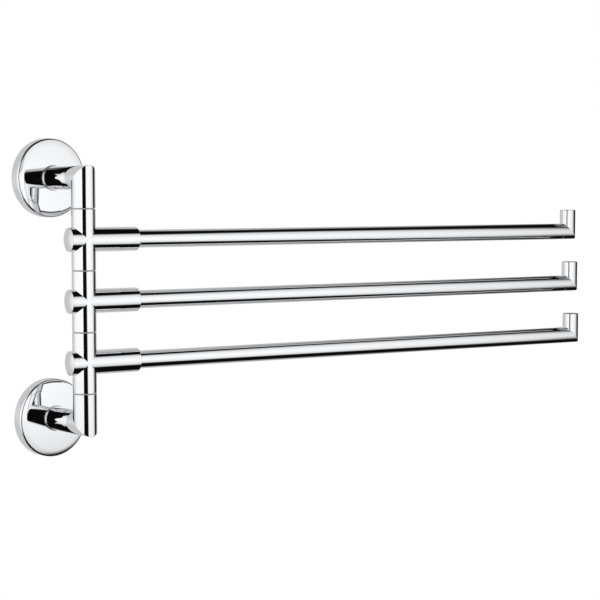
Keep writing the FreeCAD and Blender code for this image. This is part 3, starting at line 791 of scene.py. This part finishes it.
def light_tent():
    """A ball of cloth round the object: white screens, a valance, black ends, and the room."""
    material, tree, output, place = new_glow("tent_screens")
    way = node(tree, "ShaderNodeVectorMath", {0: place}, operation="NORMALIZE")
    split = node(tree, "ShaderNodeSeparateXYZ", {0: way}).node.outputs
    ahead = node(tree, "ShaderNodeMath", {0: split["Y"], 1: -1.0}, operation="MULTIPLY")
    around = node(tree, "ShaderNodeMath", {0: split["X"], 1: ahead}, operation="ARCTAN2")
    around = node(tree, "ShaderNodeMath", {0: around}, operation="DEGREES")
    rise = node(tree, "ShaderNodeMath", {0: split["Z"]}, operation="ARCSINE")
    rise = node(tree, "ShaderNodeMath", {0: rise}, operation="DEGREES")
    # the room's angle counts on past straight behind
    whole = node(tree, "ShaderNodeMath", {0: around, 1: 360.0, 2: 0.0}, operation="WRAP")
    tilt = node(tree, "ShaderNodeMath", {0: rise}, operation="ABSOLUTE")
    # edges that aren't upright or level
    steep = node(tree, "ShaderNodeMath", {0: rise, 1: 1 / BOW_AT}, operation="MULTIPLY")
    steep = node(tree, "ShaderNodeMath", {0: steep, 1: steep}, operation="MULTIPLY")
    bowed = node(tree, "ShaderNodeMath", {0: steep, 1: BOW, 2: around}, operation="MULTIPLY_ADD")
    sag = node(tree, "ShaderNodeMapRange", {
        "Value": around, "From Min": SAG_FROM, "From Max": SAG_TO, "To Max": -SAG})
    sagging = node(tree, "ShaderNodeMath", {0: rise, 1: sag}, operation="ADD")
    # each thing of the tent as the product of its edges
    things = {
        "screens": ((around, SCREENS_LEFT), (bowed, SCREENS_RIGHT), (rise, SCREENS_UP),
                    (sagging, SCREENS_DOWN)),
        "valance": ((around, VALANCE_LEFT), (around, VALANCE_RIGHT), (rise, VALANCE_DOWN)),
        "ends": ((around, ENDS_LEFT), (around, ENDS_RIGHT), (tilt, ENDS_HIGH)),
        "room": ((whole, ROOM_RIGHT), (whole, ROOM_LEFT), (tilt, ROOM_HIGH)),
    }
    shown = {}
    for name, edges in things.items():
        for value, (dark, full) in edges:
            past = node(tree, "ShaderNodeMapRange", {
                "Value": value, "From Min": dark, "From Max": full},
                interpolation_type="SMOOTHSTEP")
            if name in shown:
                past = node(tree, "ShaderNodeMath", {0: past, 1: shown[name]},
                            operation="MULTIPLY")
            shown[name] = past
    # what is left of the screens' light towards their ends, and behind the valance and the ends
    below = node(tree, "ShaderNodeMath", {0: rise, 1: 0.0}, operation="LESS_THAN")
    fall = node(tree, "ShaderNodeMapRange", {
        "Value": below, "To Min": -FALL_ABOVE, "To Max": -FALL_BELOW})
    tall = node(tree, "ShaderNodeMath", {0: rise, 1: 1 / FALL_AT}, operation="MULTIPLY")
    tall = node(tree, "ShaderNodeMath", {0: tall, 1: tall}, operation="MULTIPLY")
    tall = node(tree, "ShaderNodeMath", {0: tall, 1: fall, 2: 1.0}, operation="MULTIPLY_ADD")
    wide = node(tree, "ShaderNodeMapRange", {
        "Value": around, "From Min": ASIDE_FROM, "From Max": ASIDE_FROM + ASIDE_STOP * FALL_AT,
        "To Max": ASIDE_STOP})
    wide = node(tree, "ShaderNodeMath", {0: wide, 1: wide}, operation="MULTIPLY")
    wide = node(tree, "ShaderNodeMath", {0: wide, 1: -FALL_ASIDE, 2: 1.0},
                operation="MULTIPLY_ADD")
    veiled = node(tree, "ShaderNodeMath", {0: shown["valance"], 1: -VALANCE_LOSS, 2: 1.0},
                  operation="MULTIPLY_ADD")
    bare = node(tree, "ShaderNodeMath", {0: 1.0, 1: shown["ends"]}, operation="SUBTRACT")
    front = shown["screens"]
    for left in (SCREEN_LEVEL, tall, wide, veiled, bare):
        front = node(tree, "ShaderNodeMath", {0: front, 1: left}, operation="MULTIPLY")
    level = node(tree, "ShaderNodeMapRange", {
        "Value": whole, "From Min": ROOM_NEAR[0], "From Max": ROOM_FAR[0],
        "To Min": ROOM_NEAR[1], "To Max": ROOM_FAR[1]})
    room = node(tree, "ShaderNodeMath", {0: shown["room"], 1: level}, operation="MULTIPLY")
    lit = node(tree, "ShaderNodeMath", {0: front, 1: room}, operation="MAXIMUM")
    lit = node(tree, "ShaderNodeMath", {0: lit, 1: DARK}, operation="ADD")
    fill(output, {"Surface": node(tree, "ShaderNodeEmission", {"Strength": lit})})
    ball = Skin()
    spun(ball, Place((0, 0, 0), UP, (1, 0, 0)), TENT_STEPS, bend((0, 0), TENT_R, 0, pi, TENT_ROWS))
    tent = staged("light_tent", ball.mesh("light_tent"), material)
    reflected(tent).location = (0, STUDIO_Y, 0)


def black_card():
    """A black card between the screens, that fades out to its right."""
    material, tree, output, place = new_glow("black_card")
    split = node(tree, "ShaderNodeSeparateXYZ", {0: place}).node.outputs
    below = node(tree, "ShaderNodeMath", {0: split["Z"], 1: 0.0}, operation="MINIMUM")
    slanted = node(tree, "ShaderNodeMath", {0: below, 1: CARD_SLANT, 2: split["X"]},
                   operation="MULTIPLY_ADD")
    gone = node(tree, "ShaderNodeMapRange", {
        "Value": slanted, "From Min": CARD_FADE[0], "From Max": CARD_FADE[1]},
        interpolation_type="SMOOTHSTEP")
    black = node(tree, "ShaderNodeEmission", {"Strength": DARK})
    clear = node(tree, "ShaderNodeBsdfTransparent", {})
    fill(output, {"Surface": node(tree, "ShaderNodeMixShader", {0: gone, 1: black, 2: clear})})
    mesh = bpy.data.meshes.new("black_card")
    (left, right), half = CARD_X, CARD_HEIGHT / 2
    corners = [(left, -half), (right, -half), (right, half), (left, half)]
    mesh.from_pydata([(x, CARD_Y, z) for x, z in corners], [], [(0, 1, 2, 3)])
    reflected(staged("black_card", mesh, material))


def floor():
    """Plain pale floor that ends in the white of the background."""
    material, tree, shader, place = new_material("pale_floor")
    grain = node(tree, "ShaderNodeTexNoise", {"Vector": place, "Scale": 2.0, "Detail": 2})
    shades = node(tree, "ShaderNodeMix", {0: grain, 6: colour("#f1f1ef"), 7: colour("#f6f6f4")},
                  out=2, data_type="RGBA")
    far = node(tree, "ShaderNodeVectorMath", {0: place}, out=1, operation="LENGTH")
    solid = node(tree, "ShaderNodeMapRange", {
        "Value": far, "From Min": FLOOR_SOLID, "From Max": FLOOR_END, "To Min": 1, "To Max": 0},
        interpolation_type="SMOOTHSTEP")
    fill(shader, {
        "Base Color": shades, "Roughness": 0.9, "Specular IOR Level": 0.1, "Alpha": solid})
    mesh = bpy.data.meshes.new("pale_floor")
    rim = [(FLOOR_END * cos(turn), FLOOR_END * sin(turn), 0) for turn in turns(FLOOR_STEPS)[1:]]
    mesh.from_pydata(rim, [], [list(range(FLOOR_STEPS))])
    staged("pale_floor", mesh, material).location = (0, STUDIO_Y, FLOOR_DOWN)


def soft_lamp(name, place, power):
    """A square lamp that looks at the object and doesn't show in what reflects."""
    light = bpy.data.lights.new(name, "AREA")
    light.size = LAMP_SIZE
    light.energy = power
    lamp = bpy.data.objects.new(name, light)
    bpy.context.scene.collection.objects.link(lamp)
    lamp.location = place
    lamp.rotation_mode = "QUATERNION"
    lamp.rotation_quaternion = (-Vector(place)).to_track_quat("-Z", "Y")
    lamp.visible_glossy = False


def white_world():
    """White behind everything and in what reflects, and soft light on the rest."""
    world = bpy.data.worlds.new("white_studio")
    bpy.context.scene.world = world
    world.use_nodes = True
    tree = world.node_tree
    path = tree.nodes.new("ShaderNodeLightPath").outputs
    seen = node(tree, "ShaderNodeMath", {
        0: path["Is Camera Ray"], 1: path["Is Glossy Ray"]}, operation="ADD")
    seen = node(tree, "ShaderNodeMath", {
        0: seen, 1: path["Is Transmission Ray"]}, operation="ADD", use_clamp=True)
    strength = node(tree, "ShaderNodeMapRange", {
        "Value": seen, "To Min": SOFT_LEVEL, "To Max": 1.0})
    fill(tree.nodes["Background"].inputs, {"Color": (1, 1, 1, 1), "Strength": strength})


def viewpoint():
    """The camera, to the left of the object and a little above its middle."""
    camera = bpy.data.objects.new("camera", bpy.data.cameras.new("camera"))
    bpy.context.scene.collection.objects.link(camera)
    bpy.context.scene.camera = camera
    camera.location = CAMERA_PLACE
    level = cos(CAMERA_PITCH)
    gaze = Vector((sin(CAMERA_YAW) * level, cos(CAMERA_YAW) * level, sin(CAMERA_PITCH)))
    camera.rotation_mode = "QUATERNION"
    camera.rotation_quaternion = gaze.to_track_quat("-Z", "Y")
    camera.data.lens = CAMERA_LENS
    camera.data.sensor_width = CAMERA_FILM
    camera.data.clip_start = CAMERA_NEAR


light_tent()
black_card()
floor()
for name, (place, power) in LAMPS.items():
    soft_lamp(name, place, power)
white_world()
viewpoint()

bpy.context.scene.view_settings.view_transform = "Standard"
